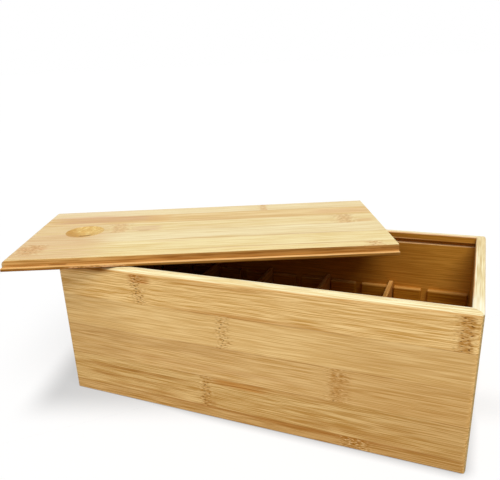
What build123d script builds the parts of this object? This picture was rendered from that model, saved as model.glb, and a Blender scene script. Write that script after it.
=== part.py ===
from build123d import *

import os

# Index card box: mitred case, sliding lid with side tongues, slotted long walls and loose dividers.
# Millimetres. X runs along the box, Y from front to back, Z up.
# The origin is the centre of the underside, on the surface that the box stands on.

# Case
box_length = 256.0
box_width = 126.0
box_height = 95.0
wall = 6.0
corner_radius = 3.0     # upright outer corners
top_rounding = 2.5      # outer edge of the wall tops
inner_rounding = 0.8    # inner edge of the wall tops
foot_rounding = 1.2     # outer edge of the underside
eased_edge = 0.4        # edges that are only sanded

# Bottom panel, let into a rebate all round the underside
bottom_thickness = 5.0
rebate_depth = 3.0
panel_clearance = 0.2

# Lid groove in the long walls, open at the left end
lip_height = 4.4        # wood left above the groove
groove_height = 3.0
groove_depth = 3.0

# Lid: a board with a thin tongue along both long sides
lid_board = 4.4         # thickness above the tongues
lid_side_clearance = 0.3
lid_end_clearance = 1.0
tongue_clearance = 1.0  # free height of the tongue in its groove
lid_nose = 3.0          # rounding of the lid's left end
tongue_rounding = 0.6   # lower edge of the tongues
scoop_diameter = 27.5
scoop_depth = 2.1
scoop_from_end = 38.4   # centre of the scoop, from the lid's left end
scoop_aside = 0.8       # and from its middle, towards the back

# The lid lies across the wall tops, turned about Z
lid_turn = 23.25
lid_shift_x = -58.3
lid_shift_y = 14.0

# Blocks glued inside the long walls, with a slot between each two
slot_count = 9
slot_width = 4.0
end_block_reach = 27.9  # from the end wall to the first slot
end_block_gap = 1.2     # left free between the end wall and the first block
block_thickness = 3.0
block_height = 49.5
block_rounding = 1.2

# Dividers that stand in facing slots, counted from the right
divider_slots = (2, 4, 6, 8)
divider_thickness = 3.0
divider_height = 53.0
divider_end_clearance = 0.3
divider_rounding = 0.6

# Worked out from the sizes above
half_length = box_length / 2
half_width = box_width / 2
inner_length = box_length - 2 * wall
inner_width = box_width - 2 * wall
half_inner_length = inner_length / 2
half_inner_width = inner_width / 2
ledge_height = box_height - lip_height - groove_height
tongue_thickness = groove_height - tongue_clearance
lid_length = box_length - wall - lid_end_clearance
board_width = inner_width - 2 * lid_side_clearance
lid_width = board_width + 2 * groove_depth
first_slot = half_inner_length - end_block_reach - slot_width / 2
row_end = half_inner_length - end_block_gap
slot_pitch = 2 * first_slot / (slot_count - 1)
slot_centres = [first_slot - slot_pitch * slot for slot in range(slot_count)]

pieces = []


def keep(builder, name):
    # Names a finished piece and puts it on the list that is written out.
    builder.part.label = name
    pieces.append(builder.part)


# Case ring: all four walls in one, with the roundings, the rebate and the groove,
# before it is parted into boards.
with BuildPart() as case_ring:
    with BuildSketch():
        Rectangle(box_length, box_width)
        Rectangle(inner_length, inner_width, mode=Mode.SUBTRACT)
    extrude(amount=box_height)
    rim = case_ring.faces().sort_by(Axis.Z)[-1]
    fillet(rim.outer_wire().edges(), radius=top_rounding)
    rim = case_ring.faces().sort_by(Axis.Z)[-1]
    fillet(rim.inner_wires()[0].edges(), radius=inner_rounding)
    sole = case_ring.faces().sort_by(Axis.Z)[0]
    fillet(sole.outer_wire().edges(), radius=foot_rounding)
    # Upright corners
    with BuildSketch():
        RectangleRounded(box_length, box_width, corner_radius)
    extrude(amount=box_height, mode=Mode.INTERSECT)
    # Rebate for the bottom panel
    with BuildSketch():
        Rectangle(inner_length + 2 * rebate_depth, inner_width + 2 * rebate_depth)
    extrude(amount=bottom_thickness, mode=Mode.SUBTRACT)
    # Lid groove: it runs out through the left end and stops at the right end wall
    with BuildSketch(Plane.XY.offset(ledge_height)):
        with Locations((-half_length, 0)):
            Rectangle(box_length - wall, inner_width + 2 * groove_depth, align=(Align.MIN, Align.CENTER))
    extrude(amount=groove_height, mode=Mode.SUBTRACT)
    # The left end wall is cut down to the groove's ledge, so that the lid passes over it
    with BuildSketch(Plane.XY.offset(ledge_height)):
        with Locations((-half_length, 0)):
            Rectangle(wall, inner_width, align=(Align.MIN, Align.CENTER))
    extrude(amount=box_height - ledge_height, mode=Mode.SUBTRACT)


def region(outline, bottom, top):
    # An upright block of space over a plan outline, used to part a board from the ring.
    # It reaches past the case wherever it doesn't cut it.
    with BuildPart() as space:
        with BuildSketch(Plane.XY.offset(bottom)):
            with BuildLine():
                Polyline(*outline, close=True)
            make_face()
        extrude(amount=top - bottom)
    return space.part


front_right_corner = (half_length + wall, -half_width - wall)
front_left_corner = (-half_length - wall, -half_width - wall)
inner_right_corner = (half_inner_length, -half_inner_width)
inner_left_corner = (-half_inner_length, -half_inner_width)
square_left_corner = (-half_length - wall, -half_inner_width)
mitred_outline = [front_left_corner, front_right_corner, inner_right_corner, inner_left_corner]
square_outline = [front_left_corner, front_right_corner, inner_right_corner, square_left_corner]

# Front wall: mitred at both ends, but square at the left above the low end wall
front_space = (region(mitred_outline, -wall, ledge_height)
               + region(square_outline, ledge_height, box_height + wall))
with BuildPart() as front_wall:
    add(case_ring.part)
    add(front_space, mode=Mode.INTERSECT)
keep(front_wall, "front_wall")

with BuildPart() as back_wall:
    mirror(front_wall.part, about=Plane.XZ)
keep(back_wall, "back_wall")


def end_outline(side):
    # Plan outline of an end wall with a mitre at each end; side is 1 at the right, -1 at the left.
    outer = side * (half_length + wall)
    outer_back = half_width + wall
    inner = side * half_inner_length
    return [(outer, -outer_back), (outer, outer_back), (inner, half_inner_width), (inner, -half_inner_width)]


with BuildPart() as right_end_wall:
    add(case_ring.part)
    add(region(end_outline(1), -wall, box_height + wall), mode=Mode.INTERSECT)
keep(right_end_wall, "right_end_wall")

with BuildPart() as left_end_wall:
    add(case_ring.part)
    add(region(end_outline(-1), -wall, ledge_height), mode=Mode.INTERSECT)
    ledge = left_end_wall.faces().sort_by(Axis.Z)[-1]
    fillet(ledge.edges().filter_by(Axis.Y), radius=eased_edge)
keep(left_end_wall, "left_end_wall")

# Bottom panel, flush with the underside of the walls
with BuildPart() as bottom_panel:
    with BuildSketch():
        Rectangle(inner_length + 2 * (rebate_depth - panel_clearance),
                  inner_width + 2 * (rebate_depth - panel_clearance))
    extrude(amount=bottom_thickness)
keep(bottom_panel, "bottom_panel")


def slot_block(right, left, side):
    # One block from x = left to right, glued to the front wall (side -1) or the back wall (side 1).
    with BuildPart() as block:
        with BuildSketch(Plane.XY.offset(bottom_thickness)):
            with Locations((left, side * half_inner_width)):
                inward = Align.MIN if side < 0 else Align.MAX
                Rectangle(right - left, block_thickness, align=(Align.MIN, inward))
        extrude(amount=block_height)
        # Every edge is rounded but those on the wall and on the bottom panel
        face_inward = block.faces().sort_by(Axis.Y)[0 if side > 0 else -1]
        top_ends = block.edges().filter_by(Axis.Y).sort_by(Axis.Z)[2:]
        fillet(face_inward.edges().sort_by(Axis.Z)[1:] + top_ends, radius=block_rounding)
    return block


# Blocks, numbered from the right: the slots are the spaces between them
block_rights = [row_end] + [centre - slot_width / 2 for centre in slot_centres]
block_lefts = [centre + slot_width / 2 for centre in slot_centres] + [-row_end]
for side, wall_name in ((-1, "front"), (1, "back")):
    for number, (right, left) in enumerate(zip(block_rights, block_lefts), start=1):
        keep(slot_block(right, left, side), f"{wall_name}_block_{number}")

# Dividers, loose in their slots, numbered from the right
for number, slot in enumerate(divider_slots, start=1):
    with BuildPart() as divider:
        with BuildSketch(Plane.XY.offset(bottom_thickness)):
            with Locations((slot_centres[slot - 1], 0)):
                Rectangle(divider_thickness, inner_width - 2 * divider_end_clearance)
        extrude(amount=divider_height)
        top_face = divider.faces().sort_by(Axis.Z)[-1]
        fillet(top_face.edges().filter_by(Axis.Y), radius=divider_rounding)
    keep(divider, f"divider_{number}")

# Lid, in its own plane on the wall tops; its left end covers the low end wall when it is closed
lid_plane = Plane(origin=(lid_shift_x, lid_shift_y, box_height)).rotated((0, 0, lid_turn))
half_lid = lid_length / 2
scoop_radius = scoop_diameter / 2
scoop_ball = (scoop_radius**2 + scoop_depth**2) / (2 * scoop_depth)
lid_thickness = tongue_thickness + lid_board
with BuildPart() as lid:
    with BuildSketch(lid_plane):
        Rectangle(lid_length, lid_width)
    extrude(amount=tongue_thickness)
    with BuildSketch(lid_plane.offset(tongue_thickness)):
        Rectangle(lid_length, board_width)
    extrude(amount=lid_board)
    # Rounded nose at the left end, as the wall tops have
    along_lid = Axis(lid_plane.origin, lid_plane.x_dir)
    underside = lid.faces().sort_by(Axis.Z)[0]
    fillet(underside.edges().filter_by(along_lid), radius=tongue_rounding)
    top_face = lid.faces().sort_by(Axis.Z)[-1]
    fillet(top_face.edges().sort_by(along_lid)[0], radius=lid_nose)
    top_face = lid.faces().sort_by(Axis.Z)[-1]
    fillet(top_face.edges().sort_by(along_lid)[1:], radius=eased_edge)
    # Finger scoop: a shallow dish, cut by a ball
    with Locations(lid_plane.location * Pos(scoop_from_end - half_lid, scoop_aside,
                                            lid_thickness - scoop_depth + scoop_ball)):
        Sphere(scoop_ball, mode=Mode.SUBTRACT)
keep(lid, "lid")

os.makedirs("parts", exist_ok=True)
for piece in pieces:
    export_step(piece, f"parts/{piece.label}.step")
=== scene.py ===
import math

import bpy
from mathutils import Matrix, Vector

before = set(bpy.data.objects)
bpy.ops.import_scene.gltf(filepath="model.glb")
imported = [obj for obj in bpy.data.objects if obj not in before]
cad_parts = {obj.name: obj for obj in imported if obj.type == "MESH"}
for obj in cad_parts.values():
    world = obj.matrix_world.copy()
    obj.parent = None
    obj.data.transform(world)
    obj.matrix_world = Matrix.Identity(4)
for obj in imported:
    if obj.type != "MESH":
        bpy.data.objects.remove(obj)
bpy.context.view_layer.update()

# Index card box of pressed bamboo: every board keeps its CAD shape and gets its own wood here.
# A place in a board is given in mm: s along it, t across it or up, d through it.
print("frame loaded:", len(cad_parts), "nodes")


class Number:
    # One output socket; sums written with it add their own Math nodes
    def __init__(self, wood, socket):
        self.wood = wood
        self.socket = socket

    def __add__(self, other):
        return self.wood.maths("ADD", self, other)

    def __radd__(self, other):
        return self.wood.maths("ADD", other, self)

    def __sub__(self, other):
        return self.wood.maths("SUBTRACT", self, other)

    def __rsub__(self, other):
        return self.wood.maths("SUBTRACT", other, self)

    def __mul__(self, other):
        return self.wood.maths("MULTIPLY", self, other)

    def __rmul__(self, other):
        return self.wood.maths("MULTIPLY", other, self)

    def __truediv__(self, other):
        return self.wood.maths("DIVIDE", self, other)

    def __abs__(self):
        return self.wood.maths("ABSOLUTE", self)

    def other(self, name):
        # Another output of the same node
        return Number(self.wood, self.socket.node.outputs[name])


class NodeBench:
    # An emptied node tree, of a material or of the world, while it is being built
    def __init__(self, owner):
        owner.use_nodes = True
        self.tree = owner.node_tree
        self.tree.nodes.clear()

    def node(self, kind, settings, values, output=0):
        # A node of any kind: its settings first, then its sockets by number or name
        made = self.tree.nodes.new(kind)
        for setting, value in settings.items():
            if setting == "stops":
                self.setStops(made.color_ramp.elements, value)
            elif setting == "ramp":
                made.color_ramp.interpolation = value
            else:
                setattr(made, setting, value)
        for place, value in values.items():
            if isinstance(value, Number):
                self.tree.links.new(value.socket, made.inputs[place])
            else:
                made.inputs[place].default_value = value
        return Number(self, made.outputs[output] if made.outputs else None)

    def setStops(self, elements, stops):
        while len(elements) < len(stops):
            elements.new(1.0)
        for element, (place, colour) in zip(elements, stops):
            element.position = place
            element.color = colour

    def maths(self, operation, *values):
        return self.node("ShaderNodeMath", {"operation": operation}, dict(enumerate(values)))

    def larger(self, first, second):
        return self.maths("MAXIMUM", first, second)

    def fade(self, value, start, end):
        # 0 at start, 1 at end, eased between; start may be the larger
        return self.node("ShaderNodeMapRange", {"interpolation_type": "SMOOTHSTEP"},
                         {0: value, 1: start, 2: end, 3: 0.0, 4: 1.0})

    def mix(self, amount, first, second, blend="MIX"):
        # Sockets 6 and 7 and output 2 are the ones for colours
        return self.node("ShaderNodeMix", {"data_type": "RGBA", "blend_type": blend},
                         {0: amount, 6: first, 7: second}, 2)

    def pattern(self, size, s, t, d, detail=2.0, rough=0.5):
        # Noise as large as size says, in mm along s, t and d
        place = self.node("ShaderNodeCombineXYZ", {}, {0: s / size[0], 1: t / size[1], 2: d / size[2]})
        return self.node("ShaderNodeTexNoise", {"noise_dimensions": "3D"},
                         {"Vector": place, "Scale": 1.0, "Detail": detail, "Roughness": rough})


def tone(code):
    # A colour as it looks on a screen, written as six hex digits
    parts = [int(code[i:i + 2], 16) / 255 for i in (0, 2, 4)]
    return [p / 12.92 if p <= 0.04045 else ((p + 0.055) / 1.055) ** 2.4 for p in parts] + [1.0]


def stripColour(wood, t, board):
    # The board is glued up from strips: one colour for each, with a hard change at the seams
    low, high = board["span"]
    stops = [(0.0, tone(board["strips"][0]))]
    for seam, code in zip(board["seams"], board["strips"][1:]):
        stops.append(((seam - low) / (high - low), tone(code)))
    share = (t - low) / (high - low)
    return wood.node("ShaderNodeValToRGB", {"stops": stops, "ramp": "CONSTANT"}, {0: share})


def stripLevel(wood, t, board, levels):
    # A number of its own for each strip, from the lowest up
    level = levels[0]
    for seam, before, after in zip(board["seams"], levels, levels[1:]):
        level = wood.maths("GREATER_THAN", t, seam) * (after - before) + level
    return level


# The joints of the cane, seen as ragged marks across a strip; sizes in mm
cane = {
    "wanderSize": (60.0, 6.0, 9.0),    # a joint's line leans to and fro
    "wanderBy": 8.0,
    "raggedSize": (9.0, 1.4, 3.0),     # and its ticks stand unevenly
    "raggedBy": 5.0,
    "jitterSize": (30.0, 3.0, 4.0),
    "jitterBy": 2.0,
    "blotchSize": (4.0, 2.4, 3.0),
    "tickHeight": (0.16, 0.05),        # shares of the pitch at which a tick begins and is full
    "secondPhase": 0.4,                # how far the second column's ticks are shifted
    "dashSize": (2.6, 0.55, 1.5),
    "swirlSize": (9.0, 4.0, 5.0)}      # the grain turns around a joint


def knuckleMasks(wood, s, t, d, board):
    # Where the joints of the cane cross a strip: two ragged columns of dark ticks in a tan band
    wander = (wood.pattern(cane["wanderSize"], s, t, d) - 0.5) * cane["wanderBy"]
    ragged = (wood.pattern(cane["raggedSize"], s, t, d, 2.0, 0.6) - 0.5) * cane["raggedBy"]
    jitter = wood.pattern(cane["jitterSize"], s, t, d, 1.0) * cane["jitterBy"]
    blotch = wood.fade(wood.pattern(cane["blotchSize"], s, t, d, 2.0, 0.6), 0.34, 0.6)
    beat = t / board["tickPitch"] + jitter
    secondBeat = beat + cane["secondPhase"]
    tickFrom, tickFull = cane["tickHeight"]
    firstTicks = wood.fade(wood.maths("PINGPONG", beat, 0.5), tickFrom, tickFull)
    secondTicks = wood.fade(wood.maths("PINGPONG", secondBeat, 0.5), tickFrom, tickFull)
    masks = {"band": 0.0, "lines": 0.0, "ticks": 0.0, "stir": 0.0}
    for knuckle in board["knuckles"]:
        low, high = knuckle["strip"]
        width = knuckle["width"]
        inside = wood.fade(t, low - 0.3, low + 0.3) * wood.fade(t, high + 0.3, high - 0.3)
        off = s - knuckle["at"] + wander
        first = wood.fade(abs(off + ragged + width * 0.35), 0.75, 0.25)
        second = wood.fade(abs(off + ragged - width * 0.4), 0.7, 0.25)
        ticks = wood.larger(first * firstTicks, second * secondTicks * knuckle["second"])
        found = {
            "band": wood.fade(abs(off + ragged * 0.6), width, width * 0.4) * inside * knuckle["dark"],
            "lines": wood.fade(abs(off), width * 2.0, width * 0.7) * inside * knuckle["line"],
            "ticks": ticks * inside * knuckle["pits"],
            "stir": wood.fade(abs(off), knuckle["reach"], 2.0) * inside}
        for part in masks:
            masks[part] = wood.larger(found[part], masks[part])
    masks["band"] = masks["band"] * (blotch * 0.7 + 0.3)
    return masks


def stainMask(wood, s, t, streak, stain):
    # A warmer or darker stretch of one strip, broken up along the grain
    low, high = stain["strip"]
    spread = wood.fade(abs(s - stain["at"]), stain["reach"], stain["reach"] * 0.4)
    spread = spread * wood.fade(t, low - 0.5, low + 0.9) * wood.fade(t, high + 0.5, high - 0.9)
    return spread * (wood.fade(streak, -0.12, 0.1) * 0.6 + 0.4) * stain["amount"]


def boardPlace(wood, board):
    # The board's own measures in mm, from Object coordinates in metres
    centre = [c / 1000 for c in board["centre"]]
    turn = [math.radians(a) for a in board["turn"]]
    raw = wood.node("ShaderNodeTexCoord", {}, {}, "Object")
    mapped = wood.node("ShaderNodeMapping", {"vector_type": "TEXTURE"},
                       {"Vector": raw, "Location": centre, "Rotation": turn, "Scale": (0.001,) * 3})
    s = wood.node("ShaderNodeSeparateXYZ", {}, {0: mapped})
    return s, s.other("Y"), s.other("Z")


# The grain at five widths, sizes in mm; the three steps set each strip apart from its neighbours
grainLook = {
    "sway": (110.0, 14.0, 9.0),     # long bends that all the grain follows
    "fibre": (24.0, 0.38, 0.8),
    "hair": (60.0, 0.6, 1.0),
    "thread": (80.0, 0.5, 1.0),
    "streak": (60.0, 2.2, 2.2),
    "band": (75.0, 7.0, 7.0),
    "seamBreak": (26.0, 1.0, 6.0),
    "fibreEdges": (0.34, 0.66),     # noise at which a fibre is dark, and is pale
    "hairEdges": (0.32, 0.68),
    "threadEdges": (0.42, 0.28),
    "hairShift": 40.0,              # so that the three don't copy each other
    "threadShift": 90.0,
    "swayStep": 61.0,
    "runStep": 143.0,
    "deepStep": 17.0}
finish = {
    "bumpHeight": 0.00025,   # metres
    "hairRelief": 0.15,      # shares of that height
    "fibreRelief": 0.2,
    "seamRelief": 0.6,
    "tickRelief": 0.15,
    "lineRelief": 0.1,
    "unevenRough": 0.2,      # how much rougher streaks and ticks are
    "gloss": 0.03}           # oiled wood: hardly any mirror shine


def bambooBoard(name, board):
    # The whole wood of one board: strips, grain, joints of the cane, seams and gloss
    material = bpy.data.materials.new(name)
    wood = NodeBench(material)
    s, t, d = boardPlace(wood, board)

    marks = knuckleMasks(wood, s, t, d, board) if board["knuckles"] else None
    number = stripLevel(wood, t, board, range(len(board["seams"]) + 1))
    sway = wood.pattern(grainLook["sway"], s + number * grainLook["swayStep"], t, d, 1.0) - 0.5
    across = t + sway * board["sway"]
    if marks:
        swirl = wood.pattern(cane["swirlSize"], s, t, d, 1.5) - 0.5
        across = across + swirl * marks["stir"] * board["stir"]
    deep = d + number * grainLook["deepStep"] + sway * 2.0
    run = s + number * grainLook["runStep"]

    # Fine fibres, hair lines and dark threads; then streaks and broad bands
    fibreNoise = wood.pattern(grainLook["fibre"], run, across, deep, 1.0, 0.6)
    hairNoise = wood.pattern(grainLook["hair"], run + grainLook["hairShift"], across, deep)
    threadNoise = wood.pattern(grainLook["thread"], run + grainLook["threadShift"], across, deep, 1.0)
    fibre = wood.fade(fibreNoise, *grainLook["fibreEdges"]) - 0.5
    hair = wood.fade(hairNoise, *grainLook["hairEdges"]) - 0.5
    thread = wood.fade(threadNoise, *grainLook["threadEdges"])
    streak = wood.pattern(grainLook["streak"], run, across, deep, 2.0, 0.55) - 0.5
    broad = wood.pattern(grainLook["band"], run, across, deep) - 0.5
    fine = fibre * board["fibres"] + hair * board["hairs"] - thread * board["threads"]
    coarse = streak * board["streaks"] + broad * board["bands"]
    grain = fine * stripLevel(wood, t, board, board["fine"])
    grain = grain + coarse * stripLevel(wood, t, board, board["coarse"])
    light = wood.fade(grain + 0.5, 0.0, 1.0)

    plain = stripColour(wood, t, board)
    dark = wood.mix(1.0, plain, board["darkTint"] + (1.0,), "MULTIPLY")
    pale = wood.mix(1.0, plain, board["paleTint"] + (1.0,), "MULTIPLY")
    colour = wood.mix(light, dark, pale)
    for stain in board["stains"]:
        spread = stainMask(wood, s, t, streak, stain)
        stained = wood.mix(light, tone(stain["dark"]), tone(stain["pale"]))
        colour = wood.mix(spread, colour, stained)

    # Fine dark line where two strips meet, now stronger and now weaker
    seamLine = 0.0
    if board["seams"]:
        broken = wood.pattern(grainLook["seamBreak"], s, t * 0.1, d)
        for seam in board["seams"]:
            seamLine = wood.larger(wood.fade(abs(t - seam), 0.6, 0.1), seamLine)
        seamLine = seamLine * wood.fade(broken, 0.35, 0.6) * board["seamDark"]
        colour = wood.mix(seamLine, colour, tone(board["seamTone"]))

    rough = board["rough"] + streak * finish["unevenRough"]
    height = hair * finish["hairRelief"] + fibre * finish["fibreRelief"] - seamLine * finish["seamRelief"]
    if marks:
        # Short dark dashes and pale sparks about a joint, and its pits
        dash = wood.pattern(cane["dashSize"], s, across, d, 1.0)
        lines = wood.fade(dash, 0.47, 0.35) * marks["lines"]
        sparks = wood.fade(dash, 0.55, 0.68) * marks["lines"] * 0.8
        colour = wood.mix(marks["band"], colour, tone(board["jointTone"]))
        colour = wood.mix(sparks, colour, tone(board["sparkTone"]))
        colour = wood.mix(lines, colour, tone(board["lineTone"]))
        colour = wood.mix(marks["ticks"], colour, tone(board["tickTone"]))
        rough = rough + marks["ticks"] * finish["unevenRough"]
        height = height - marks["ticks"] * finish["tickRelief"] - lines * finish["lineRelief"]

    # Sanded edges and the inside of the box have tones of their own, some of them painted highlights and
    # painted shade
    for spot in board["patches"]:
        cover = spot["where"](wood, s, t, d)
        grained = wood.mix(light, tone(spot["dark"]), tone(spot["pale"]))
        colour = wood.mix(cover * spot["amount"], colour, grained)

    normal = wood.node("ShaderNodeBump", {},
                       {"Strength": board["relief"], "Distance": finish["bumpHeight"], "Height": height})
    shader = wood.node("ShaderNodeBsdfPrincipled", {},
                       {"Base Color": colour, "Roughness": rough, "Normal": normal,
                        "Specular IOR Level": finish["gloss"]})
    wood.node("ShaderNodeOutputMaterial", {}, {"Surface": shader})
    return material


def patch(where, amount, dark, pale):
    # A place with tones of its own, for its dark and its pale grain
    return {"where": where, "amount": amount, "dark": dark, "pale": pale}


def dress(names, material):
    # Puts one material on CAD nodes, through the slots they already have
    for name in names:
        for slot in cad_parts[name].material_slots:
            slot.material = material


def numbered(stem, count):
    return [stem + "_" + str(number) for number in range(1, count + 1)]


# Case walls: s runs along the wall, t up from the table, d outwards from the middle of the box
case = {
    "top": 95.0,
    "ledge": 87.6,         # the lid groove runs from this height
    "lip": 90.6,           # up to this one
    "grooveDepth": 3.0,
    "longInner": 57.0,     # d of the long walls' inner faces
    "endInner": 122.0}     # and of the end walls'


def innerSkin(wood, d, inner):
    return wood.fade(d, inner + 0.35, inner + 0.15)


def wallPatches(inner, topTones, insideShadeTones):
    # Faces of a wall that differ from its outside; inner is d of the inner face
    top = case["top"]
    ledge = case["ledge"]
    lip = case["lip"]
    grooveEnd = inner + case["grooveDepth"]

    def topFace(wood, s, t, d):
        return wood.fade(t, top - 2.3, top - 1.2) * wood.fade(t + (d - inner) * 1.5, top - 0.4, top)

    def outerEdge(wood, s, t, d):
        return wood.fade(abs(t - (top - 2.1)), 0.8, 0.3) * wood.fade(d, inner + 5.0, inner + 5.4)

    def threadLines(wood, s, t, d):
        # Long thin darker lines on the sanded top
        wander = wood.pattern((44.0, 9.0, 0.75), s, t, d, 2.0, 0.6)
        return wood.fade(wander, 0.53, 0.62) * wood.fade(t, top - 1.4, top - 0.8)

    def brightEdge(wood, s, t, d):
        # A painted highlight on the top, along its inner edge
        return wood.fade(abs(d - (inner + 0.9)), 0.5, 0.2) * wood.fade(t, top - 0.7, top - 0.3)

    def innerEdge(wood, s, t, d):
        return wood.fade(d, inner + 0.8, inner + 0.5) * wood.fade(t, top - 0.9, top - 0.6)

    def insideFace(wood, s, t, d):
        # Partly the wood's own darker tone, partly painted shade of the box's inside; the groove too
        face = innerSkin(wood, d, inner) * wood.fade(t, top - 0.5, top - 0.8)
        groove = wood.fade(t, ledge - 0.4, ledge - 0.1) * wood.fade(t, lip + 0.4, lip + 0.1)
        groove = groove * wood.fade(d, grooveEnd + 0.5, grooveEnd + 0.2)
        return wood.larger(face, groove)

    def deepFace(wood, s, t, d):
        # Painted shade: the inside is darker low in the box
        return innerSkin(wood, d, inner) * wood.fade(t, 84.0, 56.0)

    def lipEdge(wood, s, t, d):
        # A painted highlight along the lip's lower edge
        return wood.fade(abs(t - lip - 0.3), 0.6, 0.3) * wood.fade(d, inner + 0.5, inner + 0.2)

    def ledgeEdge(wood, s, t, d):
        # A painted highlight along the groove's ledge
        return wood.fade(abs(t - ledge + 0.1), 0.35, 0.2) * wood.fade(d, grooveEnd + 0.3, grooveEnd)

    palest, darkest = topTones
    insideShadePale, insideShadeDark = insideShadeTones
    return [
        patch(topFace, 1.0, darkest, palest),
        patch(outerEdge, 0.8, "D8A05A", "F0C684"),
        patch(threadLines, 0.6, "C8A468", "DEC088"),
        patch(brightEdge, 0.8, "F8E8BE", "FFF8DC"),
        patch(innerEdge, 1.0, "D09A60", "F4C890"),
        patch(insideFace, 1.0, insideShadeDark, insideShadePale),
        patch(deepFace, 0.5, "AE6A1A", "CC8A2E"),
        patch(lipEdge, 0.9, "D89C58", "F8C684"),
        patch(ledgeEdge, 1.0, "EAB878", "FFDCA4")]


def shadedTop(wood, s, t, d):
    # The lid's shade on the wall's top, at rest. It is painted on, so it stays when the lid is lifted.
    return wood.fade(s, -81.0, -95.0) * wood.fade(t, case["top"] - 6.0, case["top"] - 2.2)


def warmInside(wood, s, t, d):
    # Painted light: the back wall is paler and warmer inside at the right, where the lid leaves the box open
    inside = innerSkin(wood, d, case["longInner"]) * wood.fade(s, -56.0, -116.0)
    return inside * wood.fade(t, case["top"] - 0.8, case["top"] - 1.2)


def upright(wood, s, t, d):
    # Painted shade: the rounded corner by the front is a little grey
    return wood.fade(s, -58.0, -61.0) * wood.fade(d, case["endInner"] + 0.5, case["endInner"] + 2.0)


def farRim(wood, s, t, d):
    # The end wall's top is duller towards the back
    return wood.fade(s, 6.0, 54.0) * wood.fade(t, case["top"] - 1.0, case["top"] - 0.4)


def nearRim(wood, s, t, d):
    # and almost white towards the front
    return wood.fade(s, -34.0, -58.0) * wood.fade(t, case["top"] - 1.8, case["top"] - 1.2)


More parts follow.
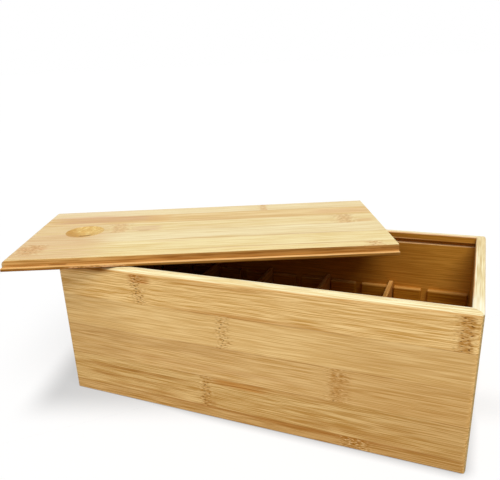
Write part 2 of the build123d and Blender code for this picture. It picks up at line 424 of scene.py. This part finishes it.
# "fine" and "coarse" give each strip's contrast, from the lowest strip up. A knuckle is a joint of the
# cane: "at" is its place along the board and "strip" the stretch that it crosses. "dark", "line" and
# "pits" are the strength of its tan band, dashes and ticks, "second" that of its second column of ticks,
# and "reach" is how far it bends the grain. A stain's "at", "strip" and "reach" are meant in the same way.
frontWood = {
    "centre": (0, 0, 0),
    "turn": (90, 0, 0),
    "span": (0.0, case["top"]),   # the stretch of t that the strips' colours cover
    "seams": [7.8, 29.4, 51.0, 72.6],
    "strips": ["CEA567", "D9B373", "E2BB7C", "EEC988", "EFC885"],
    "fine": [0.88, 0.94, 0.55, 0.42, 0.85],
    "coarse": [1.7, 1.4, 0.5, 0.15, 0.7],
    "sway": 0.55,
    "stir": 2.6,
    "fibres": 0.95,
    "hairs": 0.28,
    "threads": 0.22,
    "streaks": 0.6,
    "bands": 0.6,
    "darkTint": (0.73, 0.59, 0.37),
    "paleTint": (1.14, 1.19, 1.30),
    "knuckles": [
        {"at": -67.4, "strip": (72.6, 93), "width": 3.6, "dark": 0.3, "line": 0.8, "pits": 0.9,
         "second": 0.5, "reach": 30},
        {"at": 120.8, "strip": (72.6, 94), "width": 4.7, "dark": 0.9, "line": 0.55, "pits": 0.8,
         "second": 0.9, "reach": 14},
        {"at": -10.4, "strip": (51.0, 72.6), "width": 3.4, "dark": 0.1, "line": 0.7, "pits": 0.7,
         "second": 0.4, "reach": 14},
        {"at": 58.3, "strip": (29.4, 51.0), "width": 4.6, "dark": 0.4, "line": 0.5, "pits": 0.35,
         "second": 0.6, "reach": 14},
        {"at": -24.4, "strip": (7.8, 29.4), "width": 3.4, "dark": 0.4, "line": 0.6, "pits": 0.7,
         "second": 0.7, "reach": 22},
        {"at": 69.0, "strip": (0, 7.8), "width": 6.0, "dark": 0.2, "line": 1.0, "pits": 0.5,
         "second": 1.0, "reach": 14}],
    "stains": [
        {"at": -2, "strip": (24.6, 29.4), "reach": 26, "amount": 1.0, "dark": "AC7030", "pale": "CC944C"},
        {"at": 34, "strip": (26.4, 29.4), "reach": 40, "amount": 0.7, "dark": "B47C3C", "pale": "D0A05C"},
        {"at": 30, "strip": (6.6, 8.4), "reach": 120, "amount": 1.0, "dark": "A06A2A", "pale": "B88040"},
        {"at": 45, "strip": (5.6, 8.4), "reach": 46, "amount": 0.9, "dark": "9C6426", "pale": "BC8440"},
        {"at": 6, "strip": (72.4, 75.0), "reach": 66, "amount": 0.75, "dark": "BA7E3A", "pale": "D09850"},
        {"at": -14, "strip": (89.8, 92.4), "reach": 44, "amount": 0.9, "dark": "B47C38", "pale": "D4A058"},
        {"at": 70, "strip": (90.4, 92.4), "reach": 50, "amount": 0.4, "dark": "BC843F", "pale": "DAA862"},
        {"at": -65.5, "strip": (87.0, 92.6), "reach": 10, "amount": 1.0, "dark": "9A520A", "pale": "C67C22"},
        {"at": -22, "strip": (8.0, 12.5), "reach": 6, "amount": 0.7, "dark": "A06A28", "pale": "BE8842"},
        {"at": -60, "strip": (43.0, 50.4), "reach": 76, "amount": 0.5, "dark": "B4844A", "pale": "D0A466"},
        {"at": -40, "strip": (50.2, 51.8), "reach": 60, "amount": 0.3, "dark": "A87038", "pale": "C08C50"},
        {"at": -30, "strip": (34.0, 38.0), "reach": 90, "amount": 0.4, "dark": "B8844A", "pale": "D2A264"},
        {"at": 60, "strip": (31.0, 49.0), "reach": 8, "amount": 0.6, "dark": "B07A3A", "pale": "CE9C5A"},
        {"at": -78, "strip": (21.4, 24.0), "reach": 56, "amount": 0.7, "dark": "9E6A2A", "pale": "BC8640"},
        {"at": -76, "strip": (14.6, 17.2), "reach": 54, "amount": 0.65, "dark": "A06C2C", "pale": "BE8842"},
        {"at": -70, "strip": (9.0, 12.0), "reach": 40, "amount": 0.5, "dark": "A87434", "pale": "C48E4A"},
        {"at": -110, "strip": (29.4, 72.6), "reach": 44, "amount": 0.36, "dark": "A87C44", "pale": "C89C5C"},
        {"at": 118, "strip": (29.4, 72.6), "reach": 84, "amount": 0.5, "dark": "B48240", "pale": "CC9A54"},
        {"at": 122, "strip": (8.0, 29.4), "reach": 74, "amount": 0.35, "dark": "A87838", "pale": "C08C4C"},
        {"at": 45, "strip": (0.0, 7.8), "reach": 60, "amount": 0.37, "dark": "A87030", "pale": "C4904C"},
        {"at": 60, "strip": (10.0, 15.0), "reach": 34, "amount": 0.6, "dark": "B07C3C", "pale": "C8985A"}],
    "patches": wallPatches(case["longInner"], ("FFF4C6", "EACE90"), ("B07A34", "8A561E")) + [
        patch(shadedTop, 0.95, "7E4A0C", "A2691F")],
    "seamDark": 0.5,
    "seamTone": "A87438",
    "jointTone": "B88038",
    "lineTone": "A0681F",
    "sparkTone": "F8D69A",
    "tickTone": "502600",
    "tickPitch": 2.3,
    "rough": 0.5,
    "relief": 0.2}

backWood = dict(
    frontWood,
    turn=(90, 0, 180),
    seams=[14.2, 35.8, 57.4, 79.0],
    strips=["DFB36D", "D8AB67", "ECC47B", "E1B670", "EAC17A"],
    fine=[1.0, 0.8, 0.9, 1.0, 0.8],
    coarse=[1.0, 1.2, 0.7, 1.1, 0.8],
    patches=wallPatches(case["longInner"], ("FBF0CC", "ECD8A6"), ("BE7E2C", "A86A1E")) + [
        patch(warmInside, 0.9, "CC882A", "E8A642")],
    stains=[
        {"at": 40, "strip": (30, 35.8), "reach": 60, "amount": 0.8, "dark": "A8682C", "pale": "CC9450"},
        {"at": -50, "strip": (76, 79), "reach": 70, "amount": 0.7, "dark": "B07034", "pale": "CE965A"}],
    knuckles=[
        {"at": 84, "strip": (57.4, 79), "width": 4.0, "dark": 0.7, "line": 0.5, "pits": 0.7,
         "second": 0.8, "reach": 22},
        {"at": -8, "strip": (35.8, 57.4), "width": 3.8, "dark": 0.6, "line": 0.5, "pits": 0.5,
         "second": 0.8, "reach": 16},
        {"at": 28, "strip": (14.2, 35.8), "width": 4.0, "dark": 0.8, "line": 0.5, "pits": 0.6,
         "second": 0.8, "reach": 18},
        {"at": 46, "strip": (79, 93), "width": 3.6, "dark": 0.6, "line": 0.5, "pits": 0.5,
         "second": 0.8, "reach": 16}])

endTones = (("FCF2C8", "E2CC94"), ("C08836", "945E1E"))   # tops and insides of both end walls; the insides' darker tone is partly painted shade
rightWood = dict(
    frontWood,
    turn=(90, 0, 90),
    seams=[10.5, 32.1, 53.7, 75.3],
    strips=["D2A561", "E2B871", "DBAF6A", "EAC179", "E5BC75"],
    patches=wallPatches(case["endInner"], *endTones) + [
        patch(upright, 0.85, "9A8254", "BCA06C"),
        patch(farRim, 0.8, "DCC28A", "EED8A4"),
        patch(nearRim, 1.0, "FAEBC0", "FFFCE2")],
    stains=[
        {"at": 10, "strip": (70, 75.3), "reach": 50, "amount": 0.7, "dark": "A8682C", "pale": "CC9450"}],
    knuckles=[
        {"at": -34, "strip": (53.7, 75.3), "width": 4.0, "dark": 0.7, "line": 0.5, "pits": 0.7,
         "second": 0.8, "reach": 20},
        {"at": 22, "strip": (10.5, 32.1), "width": 3.8, "dark": 0.7, "line": 0.5, "pits": 0.6,
         "second": 0.8, "reach": 16}])

leftWood = dict(
    rightWood,
    turn=(90, 0, -90),
    seams=[5.0, 26.6, 48.2, 69.8],
    strips=["DAAD69", "E4BB74", "D4A763", "E8BF78", "DEB36D"],
    patches=wallPatches(case["endInner"], *endTones),
    knuckles=[
        {"at": 10, "strip": (48.2, 69.8), "width": 4.0, "dark": 0.7, "line": 0.5, "pits": 0.7,
         "second": 0.8, "reach": 20},
        {"at": 44, "strip": (26.6, 48.2), "width": 3.8, "dark": 0.6, "line": 0.5, "pits": 0.6,
         "second": 0.8, "reach": 16}])

dress(["front_wall"], bambooBoard("frontWallBamboo", frontWood))
dress(["back_wall"], bambooBoard("backWallBamboo", backWood))
dress(["right_end_wall"], bambooBoard("rightEndBamboo", rightWood))
dress(["left_end_wall"], bambooBoard("leftEndBamboo", leftWood))
print("walls dressed")


# Bottom panel, blocks and dividers: their upper faces have tones of their own
def panelTop(wood, s, t, d):
    return wood.fade(d, 4.6, 4.9)


def blockTop(wood, s, t, d):
    return wood.fade(t, 53.1, 53.9)


def dividerTop(wood, s, t, d):
    return wood.fade(t, 57.2, 57.7)


panelWood = dict(
    frontWood,
    turn=(0, 0, 0),
    span=(-60.0, 60.0),
    seams=[-43.2, -21.6, 0.0, 21.6, 43.2],
    strips=["D4A763", "DFB36D", "DAAD69", "E5BC75", "D8AB67", "E1B670"],
    fine=[1.0, 0.8, 1.0, 0.9, 0.8, 1.0],
    coarse=[1.0, 1.2, 0.8, 0.6, 1.2, 1.0],
    patches=[patch(panelTop, 1.0, "7E4E1A", "A8702E")],
    stains=[
        {"at": 20, "strip": (0, 6), "reach": 80, "amount": 0.6, "dark": "A8682C", "pale": "CC9450"}],
    knuckles=[
        {"at": -70, "strip": (0, 21.6), "width": 4.0, "dark": 0.7, "line": 0.5, "pits": 0.6,
         "second": 0.8, "reach": 18},
        {"at": 52, "strip": (-21.6, 0), "width": 4.0, "dark": 0.7, "line": 0.5, "pits": 0.6,
         "second": 0.8, "reach": 18}])

blockWood = dict(
    frontWood,
    span=(0.0, 60.0),
    seams=[],
    strips=["B2741E"],
    stains=[],
    fine=[0.8],
    coarse=[0.8],
    patches=[patch(blockTop, 1.0, "B47A32", "D09A50")],
    knuckles=[])

dividerWood = dict(
    frontWood,
    turn=(90, 0, 90),
    span=(0.0, 60.0),
    seams=[26.6, 48.2],
    strips=["C48A40", "C99046", "C28840"],
    stains=[],
    fine=[0.8, 0.8, 0.8],
    coarse=[0.8, 0.8, 0.8],
    patches=[patch(dividerTop, 1.0, "BE8640", "DCA45C")],
    knuckles=[
        {"at": 18, "strip": (26.6, 48.2), "width": 3.5, "dark": 0.5, "line": 0.5, "pits": 0.4,
         "second": 0.8, "reach": 14}])

dress(["bottom_panel"], bambooBoard("bottomPanelBamboo", panelWood))
dress(numbered("front_block", 10) + numbered("back_block", 10), bambooBoard("blockBamboo", blockWood))
dress(numbered("divider", 4), bambooBoard("dividerBamboo", dividerWood))
print("inside dressed")


# Lid: s runs along it from its middle, t across, d up from its underside
lidShape = {
    "boardHalf": 56.7,       # half the board's width
    "tongueHalf": 59.7,      # half the width over the tongues
    "tongueTop": 2.0,        # d of the tongues' upper face
    "top": 6.4,              # d of the lid's upper face
    "noseAt": -124.0,        # s of the rounded left end
    "scoopAt": -86.1,        # centre of the scoop along the lid
    "scoopAside": 0.8,       # and across it
    "scoopRadius": 13.8}


def lidPatches():
    boardHalf = lidShape["boardHalf"]
    tongueHalf = lidShape["tongueHalf"]
    tongueUp = lidShape["tongueTop"]
    lidUp = lidShape["top"]
    scoopAt = lidShape["scoopAt"]

    def underside(wood, s, t, d):
        return wood.fade(d, 0.5, 0.2)

    def boardSide(wood, s, t, d):
        side = wood.fade(abs(t), boardHalf - 0.3, boardHalf - 0.05)
        return side * wood.fade(d, lidUp - 0.1, lidUp - 0.3) * wood.fade(d, tongueUp - 0.1, tongueUp + 0.05)

    def paleSide(wood, s, t, d):
        return boardSide(wood, s, t, d) * wood.fade(s, -20.0, -90.0)

    def sideLine(wood, s, t, d):
        return boardSide(wood, s, t, d) * wood.fade(d, 3.1, 2.5) * wood.fade(abs(s + 89.0), 7.0, 4.0)

    def tongueTop(wood, s, t, d):
        top = wood.fade(abs(t), boardHalf - 0.1, boardHalf + 0.1)
        top = top * wood.fade(d, tongueUp - 0.25, tongueUp - 0.1)
        return top * wood.fade(d, tongueUp + 0.1, tongueUp + 0.05)

    def tongueSide(wood, s, t, d):
        side = wood.fade(abs(t), tongueHalf - 0.7, tongueHalf - 0.4)
        return side * wood.fade(d, tongueUp - 0.05, tongueUp - 0.2)

    def tongueJoint(wood, s, t, d):
        # A joint of the cane runs out on the front tongue
        blotch = wood.pattern((3.0, 1.2, 0.5), s, t, d, 2.0, 0.6)
        joint = tongueSide(wood, s, t, d) * wood.fade(abs(s + 64.0), 22.0, 15.0)
        return joint * wood.fade(blotch, 0.4, 0.55)

    def tongueFoot(wood, s, t, d):
        # The shade between the lid and the case, painted on the tongue's lower edge
        foot = wood.fade(abs(t), tongueHalf - 0.8, tongueHalf - 0.6) * wood.fade(d, 0.75, 0.45)
        return foot * wood.fade(abs(s + 40.0), 52.0, 34.0)

    def nose(wood, s, t, d):
        end = lidShape["noseAt"]
        return wood.fade(s, end + 1.8, end) * wood.fade(d, tongueUp, tongueUp + 1.0)

    def dish(wood, s, t, d):
        along = s - scoopAt
        aside = t - lidShape["scoopAside"]
        away = wood.maths("SQRT", along * along + aside * aside)
        rim = lidShape["scoopRadius"]
        return wood.fade(away, rim, rim - 0.4) * wood.fade(d, lidUp + 0.05, lidUp - 0.02)

    def dishShade(wood, s, t, d):
        # Painted shade over the dish's left part
        return dish(wood, s, t, d) * wood.fade(s + t * 0.4, scoopAt + 2.0, scoopAt - 11.0)

    def dishRings(wood, s, t, d):
        # The cutter has left pale slanting streaks
        slanted = wood.pattern((4.5, 1.0, 3.0), s + t * 0.7, t - s * 0.7, d, 2.0, 0.6)
        rings = dish(wood, s, t, d) * wood.fade(slanted, 0.5, 0.6)
        return rings * wood.fade(s + t, scoopAt - 9.0, scoopAt + 4.0)

    def dishLine(wood, s, t, d):
        # A short dark line of painted shade in the dish's near half
        bow = abs(t + 3.6 - (s - scoopAt - 1.0) * 0.3)
        return dish(wood, s, t, d) * wood.fade(bow, 2.0, 1.0) * wood.fade(abs(s - scoopAt - 1.0), 4.8, 3.0)

    return [
        patch(underside, 1.0, "96642C", "BC8848"),
        patch(boardSide, 1.0, "A06A2C", "CC9650"),
        patch(paleSide, 0.9, "B4803E", "DEAE68"),
        patch(sideLine, 0.8, "7C4A14", "94602A"),
        patch(tongueTop, 1.0, "DAA660", "FACF8C"),
        patch(tongueSide, 1.0, "8E5A1E", "B8803A"),
        patch(tongueJoint, 0.9, "C89058", "E6B480"),
        patch(tongueFoot, 0.9, "3C1E04", "56300C"),
        patch(nose, 0.6, "A8986C", "C4B286"),
        patch(dish, 0.9, "C89848", "E6BC6C"),
        patch(dishShade, 0.9, "B88640", "D6A65C"),
        patch(dishRings, 0.6, "F0D88C", "FFECAC"),
        patch(dishLine, 0.85, "7A480E", "8E5A1E")]


# Its strips run from the front edge to the back
lidWood = {
    "centre": (-58.3, 14.0, 95.0),
    "turn": (0, 0, 23.25),
    "span": (-60.0, 60.0),
    "seams": [-48.0, -26.4, -4.8, 17.2, 38.9],
    "strips": ["F5E2AA", "F3E2AC", "F3E4B7", "F0DDA9", "E9CD95", "F2E2B6"],
    "fine": [1.2, 1.0, 0.8, 0.8, 0.8, 0.6],
    "coarse": [1.15, 0.95, 0.7, 0.95, 1.5, 0.8],
    "sway": 0.6,
    "stir": 2.5,
    "fibres": 0.5,
    "hairs": 0.45,
    "threads": 0.28,
    "streaks": 0.8,
    "bands": 0.6,
    "darkTint": (0.84, 0.72, 0.52),
    "paleTint": (1.06, 1.09, 1.16),
    "knuckles": [
        {"at": 45, "strip": (38.9, 56.7), "width": 3.4, "dark": 0.8, "line": 0.3, "pits": 0.1,
         "second": 1.0, "reach": 10},
        {"at": -61.5, "strip": (-4.8, 17.2), "width": 7.0, "dark": 0.7, "line": 0.6, "pits": 0.3,
         "second": 1.0, "reach": 16},
        {"at": 101.5, "strip": (-4.8, 17.2), "width": 7.0, "dark": 0.7, "line": 0.7, "pits": 0.4,
         "second": 1.0, "reach": 18},
        {"at": -113, "strip": (-48, -26.4), "width": 6.5, "dark": 0.8, "line": 0.8, "pits": 0.6,
         "second": 1.0, "reach": 14},
        {"at": 111, "strip": (-56.7, -48), "width": 5.0, "dark": 0.7, "line": 0.8, "pits": 0.5,
         "second": 1.0, "reach": 12}],
    "stains": [
        {"at": -75, "strip": (22, 38), "reach": 56, "amount": 0.9, "dark": "C8956A", "pale": "D8AC83"},
        {"at": -98, "strip": (36, 43), "reach": 34, "amount": 0.6, "dark": "DCAC83", "pale": "E8C29D"},
        {"at": -36, "strip": (19, 38), "reach": 12, "amount": 0.4, "dark": "DCA85D", "pale": "ECC483"},
        {"at": 30, "strip": (17, 25), "reach": 60, "amount": 0.5, "dark": "D2A672", "pale": "E4C08E"},
        {"at": 104, "strip": (22, 34), "reach": 30, "amount": 0.6, "dark": "D2A26E", "pale": "E4BB88"},
        {"at": -42, "strip": (-3, 9), "reach": 14, "amount": 0.6, "dark": "D2A47F", "pale": "E2BE99"},
        {"at": -43, "strip": (-3.2, -1.2), "reach": 6, "amount": 0.8, "dark": "AE7D4C", "pale": "BE8F5D"},
        {"at": 2, "strip": (-4.8, 2.5), "reach": 26, "amount": 0.5, "dark": "D4AE77", "pale": "E4C692"},
        {"at": 115, "strip": (-3.0, 4.0), "reach": 8, "amount": 0.6, "dark": "CC985D", "pale": "DCAE77"},
        {"at": 42, "strip": (-26.8, -24.6), "reach": 84, "amount": 0.85, "dark": "C49562", "pale": "D8B07D"},
        {"at": 70, "strip": (-5.6, -4.2), "reach": 56, "amount": 0.6, "dark": "C89E68", "pale": "DAB481"},
        {"at": -20, "strip": (-31, -28.6), "reach": 20, "amount": 0.5, "dark": "D8AC81", "pale": "E6C299"},
        {"at": 50, "strip": (-48.8, -46.8), "reach": 72, "amount": 0.8, "dark": "C89A64", "pale": "DAB483"},
        {"at": -80, "strip": (-46.6, -44.6), "reach": 26, "amount": 0.6, "dark": "C89A64", "pale": "DAB483"},
        {"at": -112, "strip": (-57, -4.8), "reach": 64, "amount": 0.9, "dark": "D4AA79", "pale": "E6C494"},
        {"at": -112, "strip": (-4.8, 19), "reach": 64, "amount": 0.5, "dark": "D0A272", "pale": "E0B88C"},
        {"at": -112, "strip": (38, 57), "reach": 70, "amount": 0.4, "dark": "DCBA94", "pale": "E8CEAA"},
        {"at": -112, "strip": (-44, -30), "reach": 12, "amount": 0.7, "dark": "CC9159", "pale": "E2B07B"}],
    "patches": lidPatches(),
    "seamDark": 0.5,
    "seamTone": "C4955C",
    "jointTone": "DAAE78",
    "lineTone": "C08E54",
    "sparkTone": "F8E2AE",
    "tickTone": "94642C",
    "tickPitch": 3.4,
    "rough": 0.45,
    "relief": 0.3}
dress(["lid"], bambooBoard("lidBamboo", lidWood))
print("lid dressed")

# Floor, light and camera; lengths here are in metres
studio = {
    "skyLight": 0.38,        # light of the surroundings on the box
    "lampStrength": 2.28,    # one wide lamp, high and to the right
    "lampSpread": 40,
    "lampFrom": (0.31, -0.40, 1.0),
    "floorHalf": 60.0,
    "contactReach": 0.007,   # the floor greys this near to the box
    "contactShadow": 0.62,
    "softShadow": 0.35,
    "shadowFrom": (-0.128, -0.063),   # the corner that the soft shadow spreads from
    "shadowWest": (0.958, 0.287),     # the way it spreads to the left, and how far
    "westFade": (0.036, 0.008),
    "shadowSouth": (0.33, 0.944),     # the same towards the front
    "southFade": (0.046, 0.004),
    "northFade": (0.100, 0.030),
    "paperGlow": 0.8}        # share of the floor's white that no shadow takes away


def litPaper(paper):
    # The floor as it is seen: white paper with a light, colourless painted shadow of the box, from ambient
    # occlusion near it and spread from its front left corner
    x = paper.node("ShaderNodeSeparateXYZ", {}, {0: paper.node("ShaderNodeTexCoord", {}, {}, "Object")})
    east = x - studio["shadowFrom"][0]
    north = x.other("Y") - studio["shadowFrom"][1]
    west = studio["shadowWest"]
    south = studio["shadowSouth"]
    beside = paper.fade(east * -west[0] - north * west[1], *studio["westFade"])
    ahead = paper.fade(east * south[0] - north * south[1], *studio["southFade"])
    soft = beside * ahead * paper.fade(north, *studio["northFade"]) * studio["softShadow"]
    near = paper.node("ShaderNodeAmbientOcclusion", {"samples": 16},
                      {"Distance": studio["contactReach"]}, "AO")
    shade = paper.larger((1.0 - near) * studio["contactShadow"], soft)
    white = paper.node("ShaderNodeEmission", {}, {"Color": (1, 1, 1, 1)})
    sheet = paper.node("ShaderNodeBsdfDiffuse", {}, {"Color": (1, 1, 1, 1)})
    lit = paper.node("ShaderNodeMixShader", {}, {0: studio["paperGlow"], 1: sheet, 2: white})
    dark = paper.node("ShaderNodeBsdfDiffuse", {}, {"Color": (0, 0, 0, 1)})
    return paper.node("ShaderNodeMixShader", {}, {0: shade, 1: lit, 2: dark})


bpy.ops.object.select_all(action="DESELECT")
bpy.ops.mesh.primitive_plane_add(size=2 * studio["floorHalf"], location=(0, 0, 0))
floor = bpy.context.object
floor.name = "studioFloor"
floorPaper = bpy.data.materials.new("floorPaper")
paperBench = NodeBench(floorPaper)
seen = paperBench.node("ShaderNodeLightPath", {}, {}, "Is Camera Ray")
plainPaper = paperBench.node("ShaderNodeBsdfDiffuse", {}, {"Color": (0.8, 0.8, 0.8, 1)})
seenPaper = litPaper(paperBench)
paperShader = paperBench.node("ShaderNodeMixShader", {}, {0: seen, 1: plainPaper, 2: seenPaper})
paperBench.node("ShaderNodeOutputMaterial", {}, {"Surface": paperShader})
floor.data.materials.append(floorPaper)

# White where it is looked at or mirrored, dimmer as a light
world = bpy.data.worlds.new("studioWorld")
bpy.context.scene.world = world
sky = NodeBench(world)
straight = sky.node("ShaderNodeLightPath", {}, {}, "Is Camera Ray")
mirrored = sky.larger(straight.other("Is Glossy Ray"), straight.other("Is Transmission Ray"))
strength = studio["skyLight"] + sky.larger(straight, mirrored) * (1.0 - studio["skyLight"])
glow = sky.node("ShaderNodeBackground", {}, {"Color": (1, 1, 1, 1), "Strength": strength})
sky.node("ShaderNodeOutputWorld", {}, {"Surface": glow})

bpy.ops.object.light_add(type="SUN", location=(0, 0, 1))
lamp = bpy.context.object
lamp.name = "softLamp"
lamp.data.energy = studio["lampStrength"]
lamp.data.angle = math.radians(studio["lampSpread"])
lamp.rotation_euler = Vector(studio["lampFrom"]).to_track_quat("Z", "Y").to_euler()

lens = {
    "place": (0.11626, -0.31993, 0.21085),
    "yaw": 24.443,
    "pitch": -20.591,
    "roll": -2.832,
    "focalLength": 39.06,    # mm, on a sensor of this width
    "sensorWidth": 36,
    "shift": (0.0311, 0.0535),
    "nearest": 0.01,         # metres between which things show
    "farthest": 500}
bpy.ops.object.camera_add(location=lens["place"])
camera = bpy.context.object
camera.name = "studioCamera"
aim = Matrix.Rotation(math.radians(lens["yaw"]), 4, "Z")
aim = aim @ Matrix.Rotation(math.radians(90 + lens["pitch"]), 4, "X")
aim = aim @ Matrix.Rotation(math.radians(lens["roll"]), 4, "Z")
camera.matrix_world = Matrix.Translation(lens["place"]) @ aim
camera.data.lens = lens["focalLength"]
camera.data.sensor_width = lens["sensorWidth"]
camera.data.shift_x, camera.data.shift_y = lens["shift"]
camera.data.clip_start = lens["nearest"]
camera.data.clip_end = lens["farthest"]
bpy.context.scene.camera = camera
bpy.context.scene.view_settings.view_transform = "Standard"
print("stage set")
